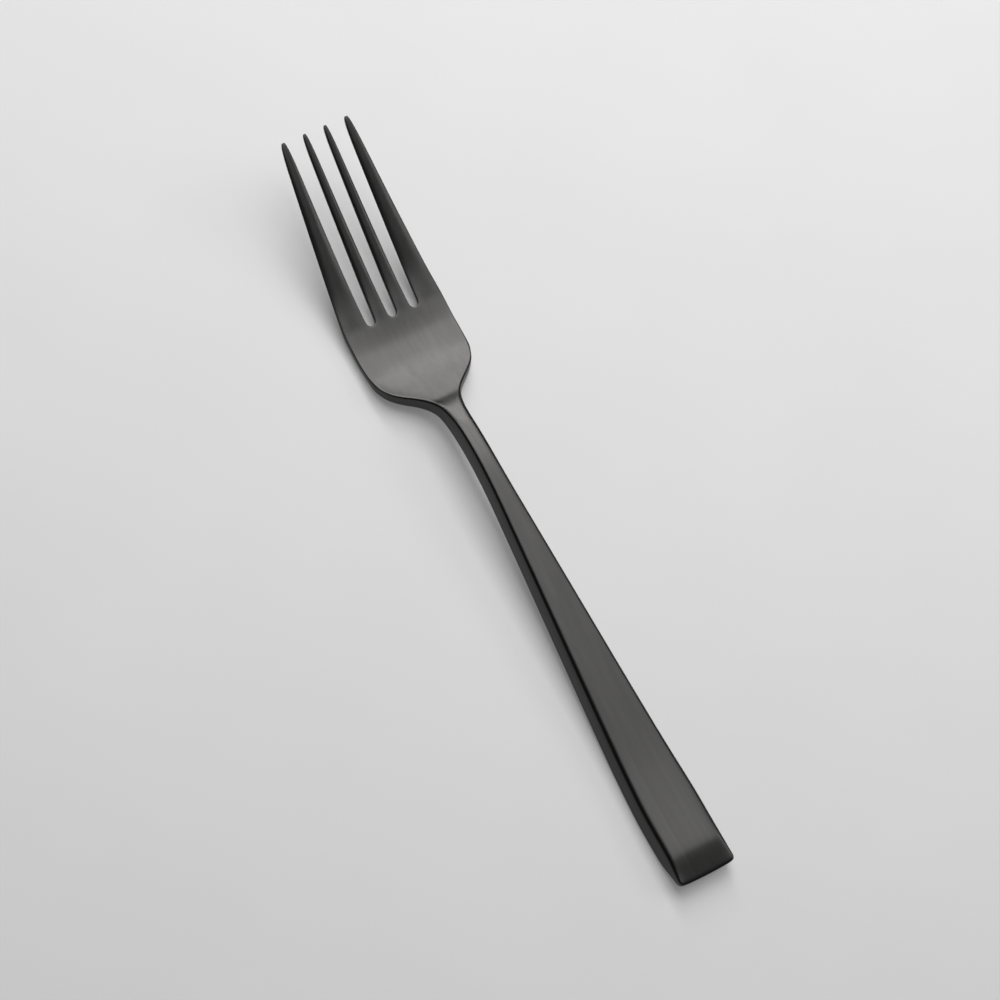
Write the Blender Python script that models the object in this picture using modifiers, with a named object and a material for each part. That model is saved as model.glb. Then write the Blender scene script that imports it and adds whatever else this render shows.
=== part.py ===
"""Salad fork in one piece: a bar handle with a faceted end, a waisted neck, a shallow bowl and four tines.

The fork lies face up with its tips towards +Y. Half of its top face is laid out as a coarse sheet,
row by row from the handle's end to the tips. The sheet is raised to the side profile, given its
thickness, mirrored and smoothed.
"""

import bmesh
import bpy
import numpy as np
from mathutils import Vector

MM = 0.001

# Lengths along the fork, as they follow each other from the handle's end to the tips; the last one
# is measured from the end too, over the stretch that keeps the handle's full width
FACET_LENGTH = 6.4 * MM
HEEL_LENGTH = 4.6 * MM
LAND_LENGTH = 16.0 * MM
TAPER_LENGTH = 66.0 * MM
CREST_LENGTH = 8.5 * MM
FALL_LENGTH = 11.7 * MM
STEP_LENGTH = 3.0 * MM
BOWL_LENGTH = 11.1 * MM
BELLY_LENGTH = 5.7 * MM
ROOT_LENGTH = 5.6 * MM
TINE_BEND_LENGTH = 21.4 * MM
TINE_STRAIGHT_LENGTH = 20.0 * MM
FULL_WIDTH_LENGTH = 18.0 * MM

# Widths of the top face
END_WIDTH = 14.5 * MM
HANDLE_WIDTH = 13.7 * MM
NECK_WIDTH = 4.8 * MM
WAIST_WIDTH = 4.4 * MM
STEP_WIDTH = 5.2 * MM
THROAT_WIDTH = 7.4 * MM
SHOULDER_WIDTH = 22.4 * MM
BOWL_WIDTH = 25.2 * MM
ROOT_SPAN = 25.0 * MM
INNER_ROOT_WIDTH = 3.5 * MM
SLOT_ROOT_WIDTH = 2.0 * MM
SLOT_TIP_WIDTH = 3.65 * MM
INNER_TIP_WIDTH = 1.45 * MM
OUTER_TIP_WIDTH = 1.75 * MM

# Heights of the top face above the table
END_HEIGHT = 4.5 * MM
FACET_BEND_HEIGHT = 5.3 * MM
NECK_HEIGHT = 10.4 * MM
CREST_HEIGHT = 10.7 * MM
NECK_END_HEIGHT = 9.95 * MM
STEP_HEIGHT = 8.5 * MM
THROAT_HEIGHT = 6.5 * MM
BELLY_HEIGHT = 2.14 * MM
SLOT_ROOT_HEIGHT = 3.2 * MM
TINE_BEND_HEIGHT = 10.0 * MM
TIP_HEIGHT = 17.5 * MM

# Thicknesses
END_THICKNESS = 2.1 * MM
HANDLE_THICKNESS = 4.85 * MM
NECK_THICKNESS = 4.5 * MM
THROAT_THICKNESS = 3.6 * MM
BOWL_THICKNESS = 2.2 * MM
ROOT_THICKNESS = 1.8 * MM
TIP_THICKNESS = 1.3 * MM

# Curves and edges
BOWL_DISH = 0.5 * MM
SHOULDER_DEPTH = 6.9 * MM
SLOT_END_DEPTH = 0.4 * MM
SLOT_ROUNDING = 1.4 * MM
TIP_ROUNDING = 1.0 * MM
END_ROUNDING = 1.5 * MM
FACET_BEND_ROUNDING = 1.1 * MM
EDGE_ROUNDING = 2.4 * MM
HANDLE_FLARE = 0.7 * MM
SHOULDER_FLARE = 0.9 * MM
EDGE_CREASE = 0.22
SMOOTHING_LEVELS = 2
MERGE_DISTANCE = 0.001 * MM

STEEL_COLOUR = (0.068, 0.067, 0.066, 1.0)
STEEL_ROUGHNESS = 0.42

# Places along the fork, measured from the handle's end
LAND_START = FACET_LENGTH + HEEL_LENGTH
LAND_END = LAND_START + LAND_LENGTH
NECK_START = LAND_END + TAPER_LENGTH
CREST = NECK_START + CREST_LENGTH
STEP = CREST + FALL_LENGTH
THROAT = STEP + STEP_LENGTH
BELLY_START = THROAT + BOWL_LENGTH
BELLY_END = BELLY_START + BELLY_LENGTH
SLOT_ROOT = BELLY_END + ROOT_LENGTH
TINE_BEND = SLOT_ROOT + TINE_BEND_LENGTH
TIPS = TINE_BEND + TINE_STRAIGHT_LENGTH
NECK_END = CREST + FALL_LENGTH / 2

# Each curve pairs places along the fork with what the shape measures there
TOP_HEIGHTS = (
    (0.0, END_HEIGHT),
    (FACET_LENGTH, FACET_BEND_HEIGHT),
    (LAND_START, HANDLE_THICKNESS),
    (LAND_END, HANDLE_THICKNESS),
    (NECK_START, NECK_HEIGHT),
    (CREST, CREST_HEIGHT),
    (NECK_END, NECK_END_HEIGHT),
    (STEP, STEP_HEIGHT),
    (THROAT, THROAT_HEIGHT),
    (BELLY_START, BELLY_HEIGHT),
    (BELLY_END, BELLY_HEIGHT),
    (SLOT_ROOT, SLOT_ROOT_HEIGHT),
    (TINE_BEND, TINE_BEND_HEIGHT),
    (TIPS, TIP_HEIGHT),
)
THICKNESSES = (
    (0.0, END_THICKNESS),
    (FACET_LENGTH, HANDLE_THICKNESS),
    (LAND_END, HANDLE_THICKNESS),
    (NECK_START, NECK_THICKNESS),
    (NECK_END, NECK_THICKNESS),
    (THROAT, THROAT_THICKNESS),
    (BELLY_START, BOWL_THICKNESS),
    (BELLY_END, BOWL_THICKNESS),
    (SLOT_ROOT, ROOT_THICKNESS),
    (TIPS, TIP_THICKNESS),
)
HALF_WIDTHS = (
    (0.0, END_WIDTH / 2),
    (FACET_LENGTH, HANDLE_WIDTH / 2),
    (FULL_WIDTH_LENGTH, HANDLE_WIDTH / 2),
    (NECK_START, NECK_WIDTH / 2),
    (CREST, WAIST_WIDTH / 2),
    (NECK_END, WAIST_WIDTH / 2),
    (STEP, STEP_WIDTH / 2),
    (THROAT, THROAT_WIDTH / 2),
)
DISHING = ((THROAT, 0.0), (BELLY_START, BOWL_DISH), (BELLY_END, BOWL_DISH), (SLOT_ROOT, 0.0))
FLARES = (
    (0.0, 0.0),
    (FACET_LENGTH, HANDLE_FLARE),
    (STEP, HANDLE_FLARE),
    (THROAT, SHOULDER_FLARE),
    (THROAT + SHOULDER_DEPTH, SHOULDER_FLARE),
    (BELLY_START, 0.0),
)


def read_curve(curve, place):
    places, values = zip(*curve)
    return float(np.interp(place, places, values))


def between(start, end, share):
    return start + share * (end - start)


def handle_places():
    """Rows of the handle and neck, closer together where the profile bends."""
    places = [0.0, END_ROUNDING, FACET_LENGTH - FACET_BEND_ROUNDING, FACET_LENGTH + FACET_BEND_ROUNDING]
    places += list(np.linspace(LAND_START, LAND_END, 4))
    places += list(np.linspace(LAND_END, NECK_START, 4)[1:])
    return places + [CREST, NECK_END, STEP, THROAT]


def handle_row(place):
    """Points across half of the handle: the middle, the inside of the rounded edge, and the edge."""
    edge = read_curve(HALF_WIDTHS, place)
    inside = max(edge - EDGE_ROUNDING, edge / 3)
    return [(x, place) for x in (0.0, inside, edge)]


def shoulder_points():
    """The back of the bowl, from beside the throat out to the shoulder."""
    points = []
    for share in (1 / 3, 2 / 3, 1.0):
        x = between(THROAT_WIDTH, SHOULDER_WIDTH, share) / 2
        points.append((x, THROAT + SHOULDER_DEPTH * share))
    return points


def tine_edges(slot_width, inner_width):
    """Across half of the fork: the inner tine's two edges and the outer tine's inner edge."""
    inner = slot_width / 2
    outer = inner + inner_width
    return [inner, outer, outer + slot_width]


def root_row():
    """Points across half of the slot roots, which dip back in the middle of each slot."""
    inner, outer, next_inner = tine_edges(SLOT_ROOT_WIDTH, INNER_ROOT_WIDTH)
    tine = SLOT_ROOT + SLOT_END_DEPTH
    slot = SLOT_ROOT - SLOT_END_DEPTH / 2
    slot_middle = outer + SLOT_ROOT_WIDTH / 2
    return [
        (0.0, slot),
        (inner, tine),
        (outer, tine),
        (slot_middle, slot),
        (next_inner, tine),
        (ROOT_SPAN / 2, tine),
    ]


def tip_points():
    """Points across half of the tips, two to each tine."""
    inner, outer, next_inner = tine_edges(SLOT_TIP_WIDTH, INNER_TIP_WIDTH)
    return [(x, TIPS) for x in (inner, outer, next_inner, next_inner + OUTER_TIP_WIDTH)]


def extend(sheet, edges, points):
    """Extrude a chain of edges to a row of points, and return the new chain from the middle outwards."""
    grown = bmesh.ops.extrude_edge_only(sheet, edges=edges)["geom"]
    corners = [item for item in grown if isinstance(item, bmesh.types.BMVert)]
    corners.sort(key=lambda corner: corner.co.x)
    for corner, (x, y) in zip(corners, points):
        corner.co = Vector((x, y, 0.0))
    return [sheet.edges.get(pair) for pair in zip(corners, corners[1:])]


def lay_out_handle(sheet):
    first, *rest = handle_places()
    corners = [sheet.verts.new((x, y, 0.0)) for x, y in handle_row(first)]
    front = [sheet.edges.new(pair) for pair in zip(corners, corners[1:])]
    for place in rest:
        front = extend(sheet, front, handle_row(place))
    return front


def lay_out_bowl(sheet, throat):
    """Widen the throat by the shoulders, then run the whole width forward to the slot roots."""
    back = handle_row(THROAT) + shoulder_points()
    front = list(throat)
    corner = max((corner for edge in throat for corner in edge.verts), key=lambda corner: corner.co.x)
    for x, y in shoulder_points():
        next_corner = sheet.verts.new((x, y, 0.0))
        front.append(sheet.edges.new((corner, next_corner)))
        corner = next_corner
    root = root_row()
    for place in (between(THROAT, BELLY_START, 0.5), BELLY_START, BELLY_END):
        share = (place - THROAT) / (BELLY_END - THROAT)
        row = []
        for (x, y), (root_x, _) in zip(back, root):
            row.append((between(x, root_x, share), between(y, BELLY_END, share)))
        row[-1] = (BOWL_WIDTH / 2, row[-1][1])
        front = extend(sheet, front, row)
    return extend(sheet, front, root)


def lay_out_tines(sheet, root_edges):
    """Run the inner and the outer tine of this half forward, tapering to rounded tips."""
    root = root_row()
    tips = tip_points()
    start = SLOT_ROOT + SLOT_END_DEPTH
    places = [start + SLOT_ROUNDING, between(start, TINE_BEND, 0.5), TINE_BEND]
    places += [between(TINE_BEND, TIPS, 0.5), TIPS - TIP_ROUNDING, TIPS]
    for root_number, tip_number in ((1, 0), (4, 2)):
        front = [root_edges[root_number]]
        left, right = root[root_number][0], root[root_number + 1][0]
        for place in places:
            share = (place - start) / (TIPS - start)
            row = [(between(left, tips[tip_number][0], share), place)]
            row.append((between(right, tips[tip_number + 1][0], share), place))
            front = extend(sheet, front, row)


def raise_to_profile(sheet):
    """Give the flat sheet the heights of the fork's top face."""
    for corner in sheet.verts:
        x, y, _ = corner.co
        dish = read_curve(DISHING, y) * (2 * x / BOWL_WIDTH) ** 2
        corner.co.z = read_curve(TOP_HEIGHTS, y) + dish


def outward_directions(sheet):
    """For each corner on the outline, the level direction that points out of the fork."""
    directions = {}
    for edge in sheet.edges:
        on_mirror = all(abs(corner.co.x) < MERGE_DISTANCE for corner in edge.verts)
        if not edge.is_boundary or on_mirror:
            continue
        start, end = edge.verts
        along = end.co - start.co
        outward = Vector((along.y, -along.x, 0.0)).normalized()
        middle = (start.co + end.co) / 2
        if outward.dot(edge.link_faces[0].calc_center_median() - middle) > 0:
            outward.negate()
        for corner in edge.verts:
            directions[corner] = directions.get(corner, Vector()) + outward
    for corner, direction in directions.items():
        if abs(corner.co.x) < MERGE_DISTANCE:
            direction.x = 0.0
        direction.normalize()
    return directions


def thicken(sheet):
    """Drop a copy of the sheet by the thickness, flared at its outline, and wall the two together."""
    top = list(sheet.verts)
    outward = outward_directions(sheet)
    moved = {}
    for corner in top:
        place = corner.co.y
        shift = outward.get(corner, Vector()) * read_curve(FLARES, place)
        moved[tuple(corner.co)] = corner.co + shift - Vector((0.0, 0.0, read_curve(THICKNESSES, place)))
    grown = bmesh.ops.extrude_face_region(sheet, geom=list(sheet.faces))["geom"]
    for corner in grown:
        if isinstance(corner, bmesh.types.BMVert):
            corner.co = moved[tuple(corner.co)]
    top = set(top)
    walls = [face for face in sheet.faces if 0 < sum(corner in top for corner in face.verts) < 4]
    inner_walls = [wall for wall in walls if all(abs(corner.co.x) < MERGE_DISTANCE for corner in wall.verts)]
    crease = sheet.edges.layers.float.new("crease_edge")
    for wall in set(walls) - set(inner_walls):
        for edge in wall.edges:
            if (edge.verts[0] in top) == (edge.verts[1] in top):
                edge[crease] = EDGE_CREASE
    bmesh.ops.delete(sheet, geom=inner_walls, context="FACES")
    bmesh.ops.recalc_face_normals(sheet, faces=sheet.faces)


def make_steel():
    steel = bpy.data.materials.new("black_steel")
    steel.use_nodes = True
    shader = steel.node_tree.nodes["Principled BSDF"]
    shader.inputs["Base Color"].default_value = STEEL_COLOUR
    shader.inputs["Roughness"].default_value = STEEL_ROUGHNESS
    shader.inputs["Metallic"].default_value = 1.0
    return steel


def make_fork():
    sheet = bmesh.new()
    throat = lay_out_handle(sheet)
    roots = lay_out_bowl(sheet, throat)
    lay_out_tines(sheet, roots)
    raise_to_profile(sheet)
    thicken(sheet)
    mesh = bpy.data.meshes.new("fork")
    sheet.to_mesh(mesh)
    sheet.free()
    mesh.shade_smooth()
    fork = bpy.data.objects.new("fork", mesh)
    fork.data.materials.append(make_steel())
    mirror = fork.modifiers.new("both_halves", "MIRROR")
    mirror.merge_threshold = MERGE_DISTANCE
    smoothing = fork.modifiers.new("smoothing", "SUBSURF")
    smoothing.levels = SMOOTHING_LEVELS
    smoothing.render_levels = SMOOTHING_LEVELS
    fork.location.y = -TIPS / 2
    return fork


def main():
    for leftover in list(bpy.data.objects):
        bpy.data.objects.remove(leftover)
    parts = bpy.data.collections.new("salad_fork")
    bpy.context.scene.collection.children.link(parts)
    parts.objects.link(make_fork())


main()
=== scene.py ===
"""Salad fork in satin black steel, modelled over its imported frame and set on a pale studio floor."""

import bmesh
import bpy
import numpy as np
from bpy.props import FloatProperty, FloatVectorProperty, IntProperty, PointerProperty
from mathutils import Matrix, Vector


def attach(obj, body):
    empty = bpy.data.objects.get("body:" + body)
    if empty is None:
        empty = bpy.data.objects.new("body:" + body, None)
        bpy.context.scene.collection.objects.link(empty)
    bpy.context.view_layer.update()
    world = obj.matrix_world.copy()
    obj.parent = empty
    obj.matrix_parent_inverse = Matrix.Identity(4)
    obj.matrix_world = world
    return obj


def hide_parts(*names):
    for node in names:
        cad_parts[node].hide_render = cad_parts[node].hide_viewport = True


bl_info = {
    "name": "Salad Fork",
    "version": (1, 0, 0),
    "blender": (4, 5, 0),
    "location": "3D View > Sidebar > Fork",
    "description": "Models a one-piece salad fork in satin black steel on a pale studio floor",
    "category": "Add Mesh",
}

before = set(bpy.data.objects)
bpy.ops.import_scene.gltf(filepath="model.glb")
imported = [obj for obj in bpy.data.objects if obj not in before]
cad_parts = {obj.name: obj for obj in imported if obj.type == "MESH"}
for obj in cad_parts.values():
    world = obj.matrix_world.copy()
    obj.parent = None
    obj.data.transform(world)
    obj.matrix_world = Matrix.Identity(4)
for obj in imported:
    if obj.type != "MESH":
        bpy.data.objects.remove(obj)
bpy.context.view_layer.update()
MM = 0.001
MERGE_DISTANCE = 0.000001

# Where the taper and the tines' sweep have heights of their own, as shares of the way along them
TAPER_SHARES = (0.125, 0.25, 0.5, 0.75)
RISE_SHARE = 1 / 3

# Rows of the control mesh: how many a stretch has with both its ends, or their shares of the way along it
LAND_ROWS = 4
TAPER_ROWS = 9
BOWL_SHARES = (0.35, 0.7, 1.0)
SWEEP_SHARES = (1 / 3, 2 / 3, 1)
WALL_SHARES = (0.09, 0.34, 0.82, 1.0)

# Points along a shoulder, the throat's included, and the share of the widening where they end
SHOULDER_POINTS = 8
SHOULDER_END = 0.95

# Points across a tine, and where each tine of a half starts in the root's row and in the tips' row
TINE_POINTS = 4
TINE_STARTS = ((1, 0), (6, 4))

# How far an eased edge drops and its wall draws back, as shares of its easing
EASED_DROP = 0.08
EASED_WALL = 0.2

# Share of a tine's width that the rounding takes from each side of its tip
TIP_INSET = 0.22

# From the bowl's back rim to the row inside it, in roundings of the head's edges
RIM_STEP = 1.3

# The node group that both finishes use, and how fine its noise is in each use
DRIFT = "drifting_tone"
STREAK_DETAIL = 3.0
LINE_DETAIL = 4.0
FLOOR_DETAIL = 5.0

FLOOR_ROUGHNESS = 0.9
FLOOR_SPECULAR = 0.1
NODE_SPACING = 200
LAMPS = ("side", "wide", "near", "far")


def length(label, description, millimetres):
    """A size, shown in the sidebar as a length."""
    return FloatProperty(
        name=label,
        description=description,
        default=millimetres * MM,
        precision=5,
        subtype="DISTANCE",
        unit="LENGTH",
    )


def colour(label, description, red, green, blue):
    """A colour of a finish, shown in the sidebar as a swatch."""
    return FloatVectorProperty(
        name=label,
        description=description,
        default=(red, green, blue),
        min=0.0,
        max=1.0,
        subtype="COLOR",
    )


def number(label, description, value):
    """A plain value, such as a count per metre."""
    return FloatProperty(name=label, description=description, default=value, precision=4)


def fraction(label, description, value):
    """A part of a whole, shown in the sidebar as a slider."""
    return FloatProperty(
        name=label,
        description=description,
        default=value,
        min=0.0,
        max=1.0,
        subtype="FACTOR",
    )


def watts(label, description, value):
    """A lamp's power."""
    return FloatProperty(name=label, description=description, default=value, precision=4, unit="POWER")


def location(label, description, x, y, z):
    """Where a lamp or the camera stands, in metres."""
    return FloatVectorProperty(
        name=label,
        description=description,
        default=(x, y, z),
        subtype="XYZ",
        unit="LENGTH",
    )


class ForkSizes(bpy.types.PropertyGroup):
    """Sizes of the fork; lengths follow each other from the handle's end to the tips."""

    facet_length: length("Facet", "End facet, from the end to its bend", 5.6)
    heel_length: length("Heel", "From the facet's bend to the land that rests on the table", 5.4)
    land_length: length("Land", "Flat land that rests on the table", 16.0)
    taper_length: length("Taper", "Tapering handle, up to the neck", 66.0)
    crest_length: length("Crest", "From the neck's start to its highest place", 8.5)
    fall_length: length("Fall", "From the highest place down to the step", 12.55)
    step_length: length("Step", "Step from the neck down into the bowl", 2.35)
    bowl_length: length("Bowl", "Slope of the bowl, from the throat to the belly", 10.9)
    belly_length: length("Belly", "Lowest stretch of the bowl", 6.1)
    root_length: length("Root", "From the belly to the ends of the slots", 5.2)
    tine_bend_length: length("Tine bend", "Stretch over which the tines sweep up", 21.4)
    tine_straight_length: length("Tine straight", "Straight stretch of the tines, up to the tips", 20.15)
    full_width_length: length("Full width", "From the end to where the handle starts to taper", 17.5)

    end_width: length("End width", "Handle's width at its end", 14.1)
    handle_width: length("Handle width", "Handle's full width", 13.45)
    neck_width: length("Neck width", "Width where the taper meets the neck", 4.6)
    waist_width: length("Waist width", "Narrowest width of the neck", 4.2)
    bowl_width: length("Bowl width", "Width across the bowl", 24.7)
    root_span: length("Root span", "Width across the four tines at the ends of the slots", 24.7)
    inner_root_width: length("Inner root", "Inner tine's width at its root", 3.4)
    slot_root_width: length("Slot root", "Slot's width at its closed end", 2.0)
    slot_tip_width: length("Slot mouth", "Slot's width at the tips", 3.55)
    inner_tip_width: length("Inner tip", "Inner tine's width at its tip", 1.55)
    outer_tip_width: length("Outer tip", "Outer tine's width at its tip", 1.85)

    end_height: length("End height", "Top of the handle's end above the table", 4.5)
    facet_bend_height: length("Facet height", "Top of the facet's bend", 5.3)
    heel_height: length("Heel height", "Top of the handle where the land starts", 5.05)
    land_height: length("Land height", "Top of the handle in the middle of the land", 4.85)
    land_end_height: length("Land end height", "Top of the handle where the land ends", 5.0)
    taper_start_height: length("Taper start height", "Top where the taper's first eighth ends", 5.5)
    low_taper_height: length("Low taper height", "Top where the taper's first quarter ends", 6.15)
    mid_taper_height: length("Mid taper height", "Top in the middle of the taper", 7.6)
    high_taper_height: length("High taper height", "Top where the taper's last quarter starts", 9.05)
    neck_height: length("Neck height", "Top of the neck where it starts", 10.4)
    crest_height: length("Crest height", "Highest place of the neck", 10.8)
    neck_end_height: length("Neck end height", "Top of the neck halfway down to the step", 10.2)
    step_height: length("Step height", "Top of the step", 8.25)
    throat_height: length("Throat height", "Foot of the step", 6.8)
    belly_height: length("Belly height", "Top face where the belly starts", 2.45)
    belly_end_height: length("Belly end height", "Top face where the belly ends", 2.0)
    slot_root_height: length("Root height", "Top face at the ends of the slots", 3.02)
    tine_rise_height: length("Rise height", "Top face a third of the way along the tines' sweep", 4.9)
    tine_bend_height: length("Bend height", "Top face where the tines run straight", 9.9)
    tip_height: length("Tip height", "Top of the tips", 17.5)

    end_thickness: length("End thickness", "Thickness at the handle's end", 2.1)
    neck_thickness: length("Neck thickness", "Thickness of the neck", 4.5)
    throat_thickness: length("Throat thickness", "Thickness at the throat", 3.3)
    bowl_thickness: length("Bowl thickness", "Thickness of the bowl", 2.0)
    root_thickness: length("Root thickness", "Thickness at the tines' roots", 1.8)
    tip_thickness: length("Tip thickness", "Thickness at the tips", 1.3)

    bowl_dish: length("Bowl dish", "Rise of the bowl's sides above its middle", 0.5)
    inner_crown: length("Inner crown", "Rise of an inner tine's middle above its edges", 0.26)
    outer_crown: length("Outer crown", "Rise of an outer tine's middle above its edges", 0.42)
    tip_crown: length("Tip crown", "How far a tip's edges lie under its middle", 0.1)
    shoulder_reach: length("Shoulder reach", "From the throat to the middle of the shoulder's curve", 3.2)
    shoulder_spread: length("Shoulder spread", "How gently the shoulder's curve swings out", 1.9)
    slot_end_depth: length("Slot end depth", "How far a slot end's corners lie forward of its place", 0.4)
    slot_rounding: length("Slot rounding", "Length of the rounded slot end", 1.4)
    tip_rounding: length("Tip rounding", "Length of the rounded tip", 2.6)
    end_reach: length("End reach", "How far the handle's end reaches behind where lengths start", 0.65)
    end_bow: length("End bow", "How far the middle of the handle's end stands out", 0.3)
    end_rounding: length("End rounding", "Rounding of the handle's end", 1.3)
    facet_bend_rounding: length("Bend rounding", "Rounding of the facet's bend", 0.75)
    handle_edge: length("Handle edge", "Rounding of the handle's edges", 2.6)
    neck_edge: length("Neck edge", "Rounding of the neck's edges", 1.6)
    plate_edge: length("Plate edge", "Rounding of the head's edges", 0.8)
    end_ease: length("End ease", "How far the end's upper edge is eased back", 0.5)
    handle_ease: length("Handle ease", "How far the handle's upper edges are eased back", 1.2)
    neck_ease: length("Neck ease", "How far the neck's upper edges are eased back", 0.5)
    plate_ease: length("Plate ease", "How far the head's upper edges are eased back", 0.2)
    end_flare: length("End flare", "How far the end's lower edge stands out; negative lies back", -0.3)
    handle_flare: length("Handle flare", "How far the handle's lower edges stand out", 0.6)
    throat_flare: length("Throat flare", "How far the throat's lower edges stand out", 0.7)
    shoulder_flare: length("Shoulder flare", "How far the shoulders' lower edges stand out", 0.3)
    plate_flare: length("Plate flare", "How far the head's lower edges stand out; negative lies back", -0.2)
    smoothing: IntProperty(name="Smoothing", description="Rounds of smoothing", default=3, min=1, max=4)


class SteelFinish(bpy.types.PropertyGroup):
    """The satin black coating and its lengthwise brushing."""

    deep: colour("Deep", "Coating where it is darkest", 0.042, 0.0415, 0.041)
    pale: colour("Pale", "Coating where it is lightest", 0.058, 0.0567, 0.0558)
    edge_tint: colour("Edge tint", "Share of the coating's grazing shine that is kept", 0.82, 0.82, 0.82)
    smoothest: fraction("Smoothest", "Roughness between the brush lines", 0.26)
    roughest: fraction("Roughest", "Roughness on the brush lines", 0.34)
    lines_across: number("Lines across", "Brush lines per metre across the fork", 2200.0)
    lines_along: number("Lines along", "Breaks per metre along a brush line", 45.0)
    streaks_across: number("Streaks across", "Soft streaks of tone per metre across the fork", 900.0)
    streaks_along: number("Streaks along", "Breaks per metre along a streak", 14.0)
    line_depth: length("Line depth", "Depth of the brush lines", 0.006)


class StudioStage(bpy.types.PropertyGroup):
    """Floor, lamps and camera."""

    floor_size: length("Floor", "Length of the floor's sides", 12000.0)
    floor_pale: colour("Floor pale", "Lightest tone of the floor", 0.75, 0.747, 0.75)
    floor_deep: colour("Floor deep", "Darkest tone of the floor", 0.71, 0.707, 0.71)
    floor_drift: number("Floor drift", "Soft changes of the floor's tone per metre", 25.0)
    glow_share: fraction("Glow share", "Share of the floor's look that is its own glow", 0.25)
    glow_strength: number("Glow strength", "Strength of the floor's glow", 0.9)
    room: colour("Room", "Dim light of the room", 0.06, 0.06, 0.06)
    side_place: location("Side lamp place", "Middle of the lamp far to the right", 0.95, -0.35, 0.60)
    side_width: length("Side lamp width", "Side of the side lamp across the fork", 500.0)
    side_length: length("Side lamp length", "Side of the side lamp along the fork", 500.0)
    side_power: watts("Side lamp power", "Power of the side lamp", 2.6)
    wide_place: location("Wide lamp place", "Middle of the lamp over and beside the fork", 0.55, 0.0, 0.60)
    wide_width: length("Wide lamp width", "Side of the wide lamp across the fork", 1300.0)
    wide_length: length("Wide lamp length", "Side of the wide lamp along the fork", 240.0)
    wide_power: watts("Wide lamp power", "Power of the wide lamp", 2.15)
    near_place: location("Near lamp place", "Middle of the lamp just beyond the tips", 0.175, 0.335, 0.60)
    near_width: length("Near lamp width", "Side of the near lamp across the fork", 550.0)
    near_length: length("Near lamp length", "Side of the near lamp along the fork", 430.0)
    near_power: watts("Near lamp power", "Power of the near lamp", 3.31)
    far_place: location("Far lamp place", "Middle of the lamp beyond the near one", 0.30, 1.075, 0.60)
    far_width: length("Far lamp width", "Side of the far lamp across the fork", 300.0)
    far_length: length("Far lamp length", "Side of the far lamp along the fork", 1050.0)
    far_power: watts("Far lamp power", "Power of the far lamp", 7.94)
    camera_place: location("Camera place", "Where the camera stands", -0.278531, -0.166401, 0.801022)
    camera_turn: FloatVectorProperty(
        name="Camera turn",
        description="How the camera is turned",
        default=(0.334485, -0.199274, -0.511716),
        subtype="EULER",
        unit="ROTATION",
    )
    camera_lens: FloatProperty(
        name="Lens",
        description="Focal length in millimetres",
        default=144.03,
        unit="CAMERA",
    )


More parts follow.
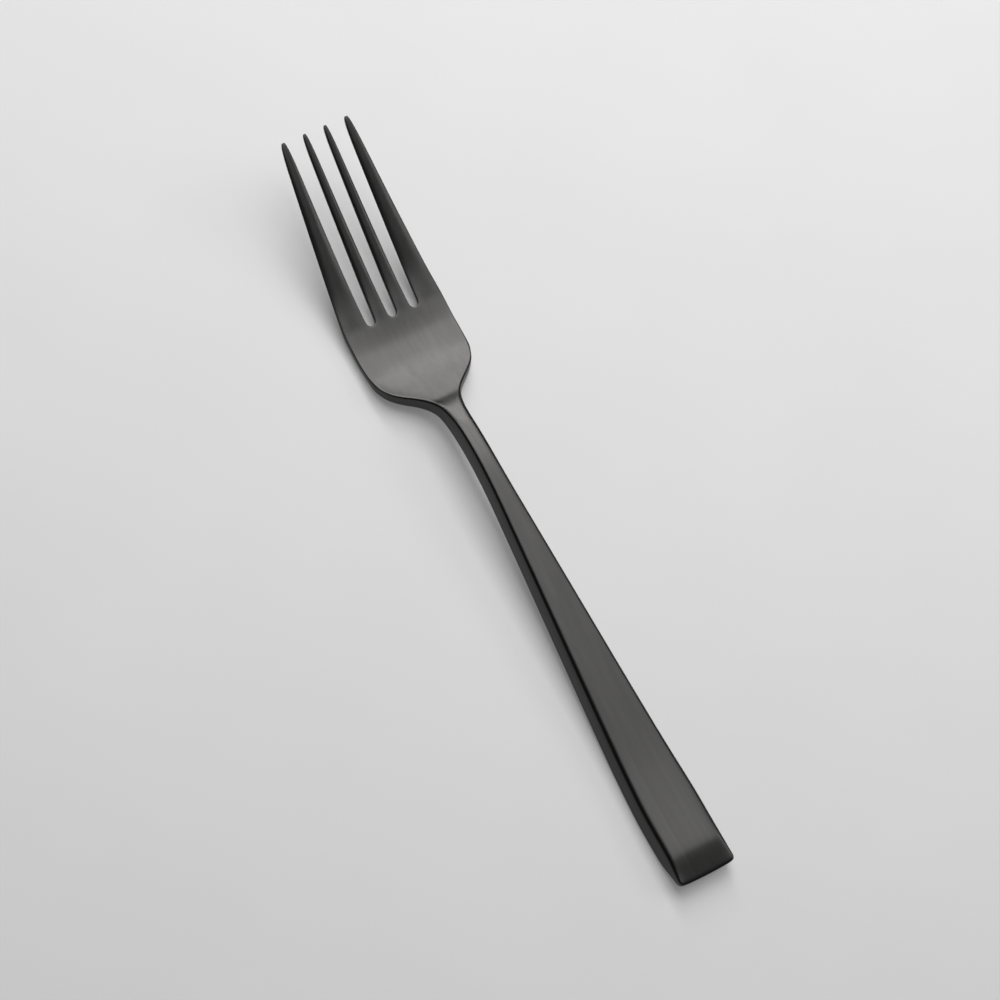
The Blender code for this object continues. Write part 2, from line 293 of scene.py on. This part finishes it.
class ForkPlan:
    """Places along the fork, measured from the handle's end, and the curves that are read at them."""

    def __init__(self, sizes):
        self.sizes = sizes
        self.land_start = sizes.facet_length + sizes.heel_length
        self.land_end = self.land_start + sizes.land_length
        self.neck_start = self.land_end + sizes.taper_length
        self.crest = self.neck_start + sizes.crest_length
        self.neck_end = self.crest + sizes.fall_length / 2
        self.step = self.crest + sizes.fall_length
        self.throat = self.step + sizes.step_length
        self.belly_start = self.throat + sizes.bowl_length
        self.belly_end = self.belly_start + sizes.belly_length
        self.slot_root = self.belly_end + sizes.root_length
        self.tine_bend = self.slot_root + sizes.tine_bend_length
        self.tips = self.tine_bend + sizes.tine_straight_length
        self.land_middle = between(self.land_start, self.land_end, 0.5)
        self.rise = between(self.slot_root, self.tine_bend, RISE_SHARE)
        taper_places = [between(self.land_end, self.neck_start, share) for share in TAPER_SHARES]
        taper_heights = (
            sizes.taper_start_height,
            sizes.low_taper_height,
            sizes.mid_taper_height,
            sizes.high_taper_height,
        )
        self.heights = (
            (0.0, sizes.end_height),
            (sizes.facet_length, sizes.facet_bend_height),
            (self.land_start, sizes.heel_height),
            (self.land_middle, sizes.land_height),
            (self.land_end, sizes.land_end_height),
            *zip(taper_places, taper_heights),
            (self.neck_start, sizes.neck_height),
            (self.crest, sizes.crest_height),
            (self.neck_end, sizes.neck_end_height),
            (self.step, sizes.step_height),
            (self.throat, sizes.throat_height),
            (self.belly_start, sizes.belly_height),
            (self.belly_end, sizes.belly_end_height),
            (self.slot_root, sizes.slot_root_height),
            (self.rise, sizes.tine_rise_height),
            (self.tine_bend, sizes.tine_bend_height),
            (self.tips, sizes.tip_height),
        )
        self.thicknesses = (
            (0.0, sizes.end_thickness),
            (sizes.facet_length, sizes.land_height),
            (self.land_start, sizes.heel_height),
            (self.land_middle, sizes.land_height),
            (self.land_end, sizes.land_end_height),
            (self.neck_start, sizes.neck_thickness),
            (self.neck_end, sizes.neck_thickness),
            (self.throat, sizes.throat_thickness),
            (self.belly_start, sizes.bowl_thickness),
            (self.belly_end, sizes.bowl_thickness),
            (self.slot_root, sizes.root_thickness),
            (self.tips, sizes.tip_thickness),
        )
        self.handle_halves = (
            (0.0, sizes.end_width / 2),
            (sizes.facet_length, sizes.handle_width / 2),
            (sizes.full_width_length, sizes.handle_width / 2),
            (self.neck_start, sizes.neck_width / 2),
            (self.crest, sizes.waist_width / 2),
        )
        self.roundings = (
            (self.land_end, sizes.handle_edge),
            (self.neck_end, sizes.neck_edge),
            (self.step, sizes.neck_edge),
            (self.belly_start, sizes.plate_edge),
        )
        self.easing = (
            (0.0, sizes.end_ease),
            (sizes.end_rounding, sizes.handle_ease),
            (self.land_end, sizes.handle_ease),
            (self.neck_end, sizes.neck_ease),
            (self.step, sizes.neck_ease),
            (self.belly_start, sizes.plate_ease),
        )
        self.dishing = (
            (self.throat, 0.0),
            (self.belly_start, sizes.bowl_dish),
            (self.belly_end, sizes.bowl_dish),
            (self.slot_root, 0.0),
        )
        self.flares = (
            (0.0, sizes.end_flare),
            (sizes.facet_length, sizes.handle_flare),
            (self.step, sizes.handle_flare),
            (self.throat, sizes.throat_flare),
            (self.throat + sizes.shoulder_reach, sizes.throat_flare),
            (self.throat + 2 * sizes.shoulder_reach, sizes.shoulder_flare),
            (self.belly_start, sizes.plate_flare),
        )

    def shoulder_share(self, place):
        """Share of the way from the waist's width to the bowl's, which swings out in an S."""
        middle = self.throat + self.sizes.shoulder_reach
        return 1.0 / (1.0 + np.exp((middle - place) / self.sizes.shoulder_spread))

    def crown(self, x, place):
        """How far the edges of the tine at x lie under its middle."""
        sizes = self.sizes
        slot_middle = sizes.slot_root_width + sizes.inner_root_width
        full = sizes.inner_crown if x < slot_middle else sizes.outer_crown
        curve = (
            (self.slot_root, 0.0),
            (self.rise, full),
            (self.tine_bend, full),
            (self.tips, sizes.tip_crown),
        )
        return read_curve(curve, place)

    def half_width(self, place):
        """Half of the width of the handle, the neck or the bowl."""
        widening = (self.sizes.bowl_width - self.sizes.waist_width) / 2
        return read_curve(self.handle_halves, place) + widening * self.shoulder_share(place)


def read_curve(curve, place):
    """Value of a curve at a place; the curve runs straight between its points and level beyond them."""
    places, values = zip(*curve)
    return float(np.interp(place, places, values))


def between(start, end, share):
    """What lies a share of the way from start to end."""
    return start + share * (end - start)


def handle_places(plan):
    """Rows of the handle and neck, closer together where the profile bends."""
    sizes = plan.sizes
    bend = sizes.facet_bend_rounding
    places = [-sizes.end_reach, sizes.end_rounding, sizes.facet_length - bend, sizes.facet_length + bend]
    places += list(np.linspace(plan.land_start, plan.land_end, LAND_ROWS))
    places += list(np.linspace(plan.land_end, plan.neck_start, TAPER_ROWS)[1:])
    places += [plan.crest, plan.neck_end, between(plan.neck_end, plan.step, 0.5), plan.step, plan.throat]
    return places


def handle_row(plan, place):
    """Points across half of the handle: the middle, the inside of the rounded edge, and the edge."""
    edge = plan.half_width(place)
    return [(x, place) for x in (0.0, edge - read_curve(plan.roundings, place), edge)]


def shoulder_points(plan):
    """The back of the bowl, from beside the throat out to the shoulder."""
    sizes = plan.sizes
    start = plan.shoulder_share(plan.throat)
    points = []
    for share in np.linspace(start, SHOULDER_END, SHOULDER_POINTS)[1:]:
        place = plan.throat + sizes.shoulder_reach + sizes.shoulder_spread * np.log(share / (1.0 - share))
        points.append((plan.half_width(place), place))
    return points


def tine_columns(left, right, rounding):
    """Points across a tine: its edges and the insides of their roundings."""
    inset = min(rounding, (right - left) / (TINE_POINTS - 1))
    return [left, left + inset, right - inset, right]


def tines_across(sizes, slot_width, inner_width, outer_edge):
    """Points across half of the fork: those of the inner tine, then those of the outer one."""
    inner = slot_width / 2
    outer = inner + inner_width
    columns = tine_columns(inner, outer, sizes.plate_edge)
    return columns + tine_columns(outer + slot_width, outer_edge, sizes.plate_edge)


def root_row(plan):
    """Points across half of the slot ends, whose corners lie forward and middles half as far back."""
    sizes = plan.sizes
    across = tines_across(sizes, sizes.slot_root_width, sizes.inner_root_width, sizes.root_span / 2)
    corner = plan.slot_root + sizes.slot_end_depth
    slot = plan.slot_root - sizes.slot_end_depth / 2
    row = [(x, corner) for x in across]
    slot_middle = (across[TINE_POINTS - 1] + across[TINE_POINTS]) / 2
    row.insert(TINE_POINTS, (slot_middle, slot))
    return [(0.0, slot)] + row


def tip_columns(plan):
    """Points across half of the tips."""
    sizes = plan.sizes
    inner_edge = sizes.slot_tip_width / 2 + sizes.inner_tip_width
    outer_edge = inner_edge + sizes.slot_tip_width + sizes.outer_tip_width
    return tines_across(sizes, sizes.slot_tip_width, sizes.inner_tip_width, outer_edge)


def extend(sheet, edges, points):
    """Extrude a chain of edges to a row of points, and return the new chain from the middle outwards."""
    grown = bmesh.ops.extrude_edge_only(sheet, edges=edges)["geom"]
    corners = [item for item in grown if isinstance(item, bmesh.types.BMVert)]
    corners.sort(key=lambda corner: corner.co.x)
    for corner, (x, y) in zip(corners, points):
        corner.co = Vector((x, y, 0.0))
    return [sheet.edges.get(pair) for pair in zip(corners, corners[1:])]


def lay_out_handle(sheet, plan):
    """Start from the bowed end and run its row forward to the throat."""
    first, *rest = handle_places(plan)
    row = handle_row(plan, first)
    bow = plan.sizes.end_bow
    corners = [sheet.verts.new((x, y - bow * (1 - (x / row[-1][0]) ** 2), 0.0)) for x, y in row]
    front = [sheet.edges.new(pair) for pair in zip(corners, corners[1:])]
    for place in rest:
        front = extend(sheet, front, handle_row(plan, place))
    return front


def lay_out_bowl(sheet, plan, throat):
    """Widen the throat by the shoulders, then run the whole width forward to the slot ends."""
    sizes = plan.sizes
    shoulder = shoulder_points(plan)
    front = list(throat)
    corner = max((corner for edge in throat for corner in edge.verts), key=lambda corner: corner.co.x)
    for x, y in shoulder:
        next_corner = sheet.verts.new((x, y, 0.0))
        front.append(sheet.edges.new((corner, next_corner)))
        corner = next_corner
    root = root_row(plan)
    back = handle_row(plan, plan.throat) + shoulder
    inside = [(x, y + sizes.plate_edge * RIM_STEP) for x, y in back]
    inside[-1] = (plan.half_width(inside[-1][1]), inside[-1][1])
    front = extend(sheet, front, inside)
    for share in BOWL_SHARES:
        row = []
        for (x, y), (root_x, _) in zip(inside, root):
            row.append((between(x, root_x, share), between(y, plan.belly_end, share)))
        # The last two points keep to the bowl's edge and to the inside of its rounding
        edge = plan.half_width(row[-1][1])
        row[-1] = (edge, row[-1][1])
        row[-2] = (edge - sizes.plate_edge, row[-2][1])
        front = extend(sheet, front, row)
    before_slots = plan.slot_root - sizes.slot_end_depth / 2 - sizes.plate_edge
    front = extend(sheet, front, [(x, before_slots) for x, _ in root])
    return extend(sheet, front, root)


def lay_out_tines(sheet, plan, root_edges):
    """Run the inner and the outer tine of this half forward, tapering to rounded tips."""
    sizes = plan.sizes
    root = [x for x, _ in root_row(plan)]
    tips = tip_columns(plan)
    start = plan.slot_root + sizes.slot_end_depth
    places = [start + sizes.slot_rounding]
    places += [between(start, plan.tine_bend, share) for share in SWEEP_SHARES]
    places += [between(plan.tine_bend, plan.tips, 0.5), plan.tips - sizes.tip_rounding, plan.tips]
    last = TINE_POINTS - 1
    for root_start, tip_start in TINE_STARTS:
        front = root_edges[root_start:root_start + last]
        for place in places:
            share = (place - start) / (plan.tips - start)
            left = between(root[root_start], tips[tip_start], share)
            right = between(root[root_start + last], tips[tip_start + last], share)
            if place == plan.tips:
                left, right = between(left, right, TIP_INSET), between(right, left, TIP_INSET)
            front = extend(sheet, front, [(x, place) for x in np.linspace(left, right, TINE_POINTS)])


def raise_to_profile(sheet, plan, outline):
    """Give the flat sheet the heights of the fork's top face."""
    for corner in sheet.verts:
        x, y, _ = corner.co
        dish = read_curve(plan.dishing, y) * (2 * x / plan.sizes.bowl_width) ** 2
        crown = plan.crown(x, y) if corner in outline else 0.0
        corner.co.z = read_curve(plan.heights, y) + dish - crown


def outline_edges(sheet):
    """Edges of the sheet's outline, without those where the other half joins on."""
    edges = []
    for edge in sheet.edges:
        on_mirror = all(abs(corner.co.x) < MERGE_DISTANCE for corner in edge.verts)
        if edge.is_boundary and not on_mirror:
            edges.append(edge)
    return edges


def outward_directions(sheet):
    """For each corner on the outline, the level direction that points out of the fork."""
    directions = {}
    for edge in outline_edges(sheet):
        start, end = edge.verts
        along = end.co - start.co
        outward = Vector((along.y, -along.x, 0.0)).normalized()
        middle = (start.co + end.co) / 2
        if outward.dot(edge.link_faces[0].calc_center_median() - middle) > 0:
            outward.negate()
        for corner in edge.verts:
            directions[corner] = directions.get(corner, Vector()) + outward
    for corner, direction in directions.items():
        if abs(corner.co.x) < MERGE_DISTANCE:
            direction.x = 0.0
        direction.normalize()
    return directions


def underside_places(sheet, plan, outline):
    """Where each corner of the top face has its partner below, flared and crowned at the outline."""
    places = {}
    for corner in sheet.verts:
        x, y, _ = corner.co
        shift = outline.get(corner, Vector()) * read_curve(plan.flares, y)
        crown = plan.crown(x, y) if corner in outline else 0.0
        drop = read_curve(plan.thicknesses, y) - 2 * crown
        places[tuple(corner.co)] = corner.co + shift - Vector((0.0, 0.0, drop))
    return places


def move_grown(grown, places):
    """Move freshly grown corners from where they grew to their own places."""
    corners = [item for item in grown if isinstance(item, bmesh.types.BMVert)]
    for corner in corners:
        corner.co = places[tuple(corner.co)]


def thicken(sheet, plan, outline):
    """Run walls down from the outline, close them with the underside and ease the upper edges."""
    underside = underside_places(sheet, plan, outline)
    walls = [{} for _ in WALL_SHARES]
    for corner, outward in outline.items():
        place = corner.co.copy()
        foot = underside[tuple(corner.co)]
        eased = outward * read_curve(plan.easing, place.y) * EASED_WALL
        for wall, share in zip(walls, WALL_SHARES):
            below = corner.co.lerp(foot, share) - eased
            wall[tuple(place)] = below
            place = below
            eased = Vector()
    rim = outline_edges(sheet)
    move_grown(bmesh.ops.duplicate(sheet, geom=list(sheet.faces))["geom"], underside)
    for wall in walls:
        grown = bmesh.ops.extrude_edge_only(sheet, edges=rim)["geom"]
        move_grown(grown, wall)
        rim = [item for item in grown if isinstance(item, bmesh.types.BMEdge)]
    for corner, outward in outline.items():
        ease = read_curve(plan.easing, corner.co.y)
        corner.co -= outward * ease
        corner.co.z -= ease * EASED_DROP


def model_fork(sizes):
    """The whole fork as a mesh: half of it laid out, thickened and mirrored."""
    plan = ForkPlan(sizes)
    sheet = bmesh.new()
    throat = lay_out_handle(sheet, plan)
    roots = lay_out_bowl(sheet, plan, throat)
    lay_out_tines(sheet, plan, roots)
    outline = outward_directions(sheet)
    raise_to_profile(sheet, plan, outline)
    thicken(sheet, plan, outline)
    everything = list(sheet.verts) + list(sheet.edges) + list(sheet.faces)
    bmesh.ops.mirror(sheet, geom=everything, matrix=Matrix.Identity(4), merge_dist=MERGE_DISTANCE, axis="X")
    bmesh.ops.remove_doubles(sheet, verts=sheet.verts, dist=MERGE_DISTANCE)
    bmesh.ops.recalc_face_normals(sheet, faces=sheet.faces)
    bmesh.ops.translate(sheet, verts=sheet.verts, vec=(0.0, -plan.tips / 2, 0.0))
    mesh = bpy.data.meshes.new("fork_in_satin_black")
    sheet.to_mesh(mesh)
    sheet.free()
    mesh.shade_smooth()
    return mesh


def add_node(tree, kind, column, row):
    """A new node at its place on an even grid."""
    node = tree.nodes.new(kind)
    node.location = (column * NODE_SPACING, row * NODE_SPACING)
    return node


def make_drift():
    """Node group of a noise on the piece's own coordinates and a tone that drifts with it."""
    drift = bpy.data.node_groups.new(DRIFT, "ShaderNodeTree")
    drift.interface.new_socket("Scale", in_out="INPUT", socket_type="NodeSocketVector")
    drift.interface.new_socket("Detail", in_out="INPUT", socket_type="NodeSocketFloat")
    drift.interface.new_socket("Deep", in_out="INPUT", socket_type="NodeSocketColor")
    drift.interface.new_socket("Pale", in_out="INPUT", socket_type="NodeSocketColor")
    drift.interface.new_socket("Mask", in_out="OUTPUT", socket_type="NodeSocketFloat")
    drift.interface.new_socket("Tone", in_out="OUTPUT", socket_type="NodeSocketColor")
    given = add_node(drift, "NodeGroupInput", -4, 0)
    coordinates = add_node(drift, "ShaderNodeTexCoord", -4, 2)
    mapping = add_node(drift, "ShaderNodeMapping", -3, 1)
    noise = add_node(drift, "ShaderNodeTexNoise", -2, 1)
    noise.inputs["Scale"].default_value = 1.0
    mix = add_node(drift, "ShaderNodeMix", -1, 0)
    mix.data_type = "RGBA"
    result = add_node(drift, "NodeGroupOutput", 0, 0)
    drift.links.new(coordinates.outputs["Object"], mapping.inputs["Vector"])
    drift.links.new(given.outputs["Scale"], mapping.inputs["Scale"])
    drift.links.new(mapping.outputs["Vector"], noise.inputs["Vector"])
    drift.links.new(given.outputs["Detail"], noise.inputs["Detail"])
    drift.links.new(noise.outputs["Fac"], mix.inputs["Factor"])
    drift.links.new(given.outputs["Deep"], mix.inputs["A"])
    drift.links.new(given.outputs["Pale"], mix.inputs["B"])
    drift.links.new(noise.outputs["Fac"], result.inputs["Mask"])
    drift.links.new(mix.outputs["Result"], result.inputs["Tone"])
    return drift


def add_drift(tree, row, scale, detail):
    """Place the drifting tone's group in a material, with its scale along each axis."""
    drift = add_node(tree, "ShaderNodeGroup", -4, row)
    drift.node_tree = bpy.data.node_groups.get(DRIFT) or make_drift()
    drift.inputs["Scale"].default_value = scale
    drift.inputs["Detail"].default_value = detail
    return drift


def drifting_tone(tree, row, scale, detail, deep, pale):
    """A colour that drifts between two tones."""
    drift = add_drift(tree, row, scale, detail)
    drift.inputs["Deep"].default_value = (*deep, 1.0)
    drift.inputs["Pale"].default_value = (*pale, 1.0)
    return drift.outputs["Tone"]


def join_values(tree, column, operation, first, second):
    """A value worked out from a socket and either another socket or a number."""
    node = add_node(tree, "ShaderNodeMath", column, -3)
    node.operation = operation
    tree.links.new(first, node.inputs[0])
    if isinstance(second, float):
        node.inputs[1].default_value = second
    else:
        tree.links.new(second, node.inputs[1])
    return node.outputs["Value"]


def make_black_steel(finish):
    """Satin black coating over steel that was brushed along its length."""
    steel = bpy.data.materials.new("satin_black_steel")
    steel.use_nodes = True
    tree = steel.node_tree
    shader = tree.nodes["Principled BSDF"]
    shader.inputs["Metallic"].default_value = 1.0
    shader.inputs["Specular Tint"].default_value = (*finish.edge_tint, 1.0)
    streaks = (finish.streaks_across, finish.streaks_along, finish.streaks_across)
    tone = drifting_tone(tree, 2, streaks, STREAK_DETAIL, finish.deep, finish.pale)
    tree.links.new(tone, shader.inputs["Base Color"])
    brushing = (finish.lines_across, finish.lines_along, finish.lines_across)
    lines = add_drift(tree, 0, brushing, LINE_DETAIL).outputs["Mask"]
    sheen = add_node(tree, "ShaderNodeMapRange", -2, 0)
    sheen.inputs["To Min"].default_value = finish.smoothest
    sheen.inputs["To Max"].default_value = finish.roughest
    tree.links.new(lines, sheen.inputs["Value"])
    tree.links.new(sheen.outputs["Result"], shader.inputs["Roughness"])
    bump = add_node(tree, "ShaderNodeBump", -2, -2)
    bump.inputs["Distance"].default_value = finish.line_depth
    tree.links.new(lines, bump.inputs["Height"])
    tree.links.new(bump.outputs["Normal"], shader.inputs["Normal"])
    return steel


def make_floor_finish(stage):
    """Pale matt floor with a faint drift of tone, which glows a little so that its shadows stay light."""
    floor = bpy.data.materials.new("pale_floor")
    floor.use_nodes = True
    tree = floor.node_tree
    shader = tree.nodes["Principled BSDF"]
    shader.inputs["Roughness"].default_value = FLOOR_ROUGHNESS
    shader.inputs["Specular IOR Level"].default_value = FLOOR_SPECULAR
    even = (stage.floor_drift, stage.floor_drift, stage.floor_drift)
    tone = drifting_tone(tree, 0, even, FLOOR_DETAIL, stage.floor_deep, stage.floor_pale)
    tree.links.new(tone, shader.inputs["Base Color"])
    glow = add_node(tree, "ShaderNodeEmission", 0, -1)
    glow.inputs["Strength"].default_value = stage.glow_strength
    tree.links.new(tone, glow.inputs["Color"])
    rays = add_node(tree, "ShaderNodeLightPath", -4, -3).outputs
    seen = join_values(tree, -3, "MAXIMUM", rays["Is Camera Ray"], rays["Is Glossy Ray"])
    seen = join_values(tree, -2, "MAXIMUM", seen, rays["Is Transmission Ray"])
    share = join_values(tree, -1, "MULTIPLY", seen, stage.glow_share)
    blend = add_node(tree, "ShaderNodeMixShader", 2, 0)
    tree.links.new(share, blend.inputs["Fac"])
    tree.links.new(shader.outputs["BSDF"], blend.inputs[1])
    tree.links.new(glow.outputs["Emission"], blend.inputs[2])
    tree.links.new(blend.outputs["Shader"], tree.nodes["Material Output"].inputs["Surface"])
    return floor


class FORK_OT_fork(bpy.types.Operator):
    """Model the fork in one piece and give it its satin black finish"""

    bl_idname = "fork.fork"
    bl_label = "Fork"

    def execute(self, context):
        sizes = context.scene.fork_sizes
        fork = bpy.data.objects.new("fork_in_satin_black", model_fork(sizes))
        context.scene.collection.objects.link(fork)
        smoothing = fork.modifiers.new("smoothing", "SUBSURF")
        smoothing.levels = sizes.smoothing
        smoothing.render_levels = sizes.smoothing
        fork.data.materials.append(make_black_steel(context.scene.fork_finish))
        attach(fork, "root")
        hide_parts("fork")
        return {"FINISHED"}


class FORK_OT_stage(bpy.types.Operator):
    """Lay the pale floor and set up the lamps and the camera"""

    bl_idname = "fork.stage"
    bl_label = "Stage"

    def execute(self, context):
        stage = context.scene.fork_stage
        self.lay_floor(context, stage)
        for kind in LAMPS:
            self.hang_lamp(context, stage, kind)
        self.dim_room(context, stage)
        self.set_camera(context, stage)
        context.scene.view_settings.view_transform = "Standard"
        return {"FINISHED"}

    def lay_floor(self, context, stage):
        """A wide plain floor that the fork rests on."""
        mesh = bpy.data.meshes.new("floor")
        ground = bmesh.new()
        bmesh.ops.create_grid(ground, x_segments=1, y_segments=1, size=stage.floor_size / 2)
        ground.to_mesh(mesh)
        ground.free()
        floor = bpy.data.objects.new("floor", mesh)
        mesh.materials.append(make_floor_finish(stage))
        context.scene.collection.objects.link(floor)

    def hang_lamp(self, context, stage, kind):
        """A level soft panel that shines straight down."""
        light = bpy.data.lights.new(f"{kind}_lamp", "AREA")
        light.shape = "RECTANGLE"
        light.size = getattr(stage, f"{kind}_width")
        light.size_y = getattr(stage, f"{kind}_length")
        light.energy = getattr(stage, f"{kind}_power")
        lamp = bpy.data.objects.new(f"{kind}_lamp", light)
        lamp.location = getattr(stage, f"{kind}_place")
        context.scene.collection.objects.link(lamp)

    def dim_room(self, context, stage):
        """Faint even light from all round."""
        room = bpy.data.worlds.new("dim_room")
        room.use_nodes = True
        room.node_tree.nodes["Background"].inputs["Color"].default_value = (*stage.room, 1.0)
        context.scene.world = room

    def set_camera(self, context, stage):
        """The camera, high up on the left of the handle."""
        view = bpy.data.cameras.new("camera")
        view.lens = stage.camera_lens
        camera = bpy.data.objects.new("camera", view)
        camera.location = stage.camera_place
        camera.rotation_euler = stage.camera_turn
        context.scene.collection.objects.link(camera)
        context.scene.camera = camera


class FORK_PT_panel(bpy.types.Panel):
    """Sizes, finish and stage of the fork"""

    bl_idname = "FORK_PT_panel"
    bl_label = "Salad Fork"
    bl_space_type = "VIEW_3D"
    bl_region_type = "UI"
    bl_category = "Fork"

    def draw(self, context):
        for group in (context.scene.fork_sizes, context.scene.fork_finish, context.scene.fork_stage):
            column = self.layout.column(align=True)
            for name in group.__annotations__:
                column.prop(group, name)
        self.layout.operator(FORK_OT_fork.bl_idname)
        self.layout.operator(FORK_OT_stage.bl_idname)


CLASSES = (ForkSizes, SteelFinish, StudioStage, FORK_OT_fork, FORK_OT_stage, FORK_PT_panel)


def register():
    for item in CLASSES:
        bpy.utils.register_class(item)
    bpy.types.Scene.fork_sizes = PointerProperty(type=ForkSizes)
    bpy.types.Scene.fork_finish = PointerProperty(type=SteelFinish)
    bpy.types.Scene.fork_stage = PointerProperty(type=StudioStage)


def unregister():
    del bpy.types.Scene.fork_stage
    del bpy.types.Scene.fork_finish
    del bpy.types.Scene.fork_sizes
    for item in reversed(CLASSES):
        bpy.utils.unregister_class(item)


def main():
    register()
    bpy.ops.fork.fork()
    bpy.ops.fork.stage()


if __name__ == "__main__":
    main()
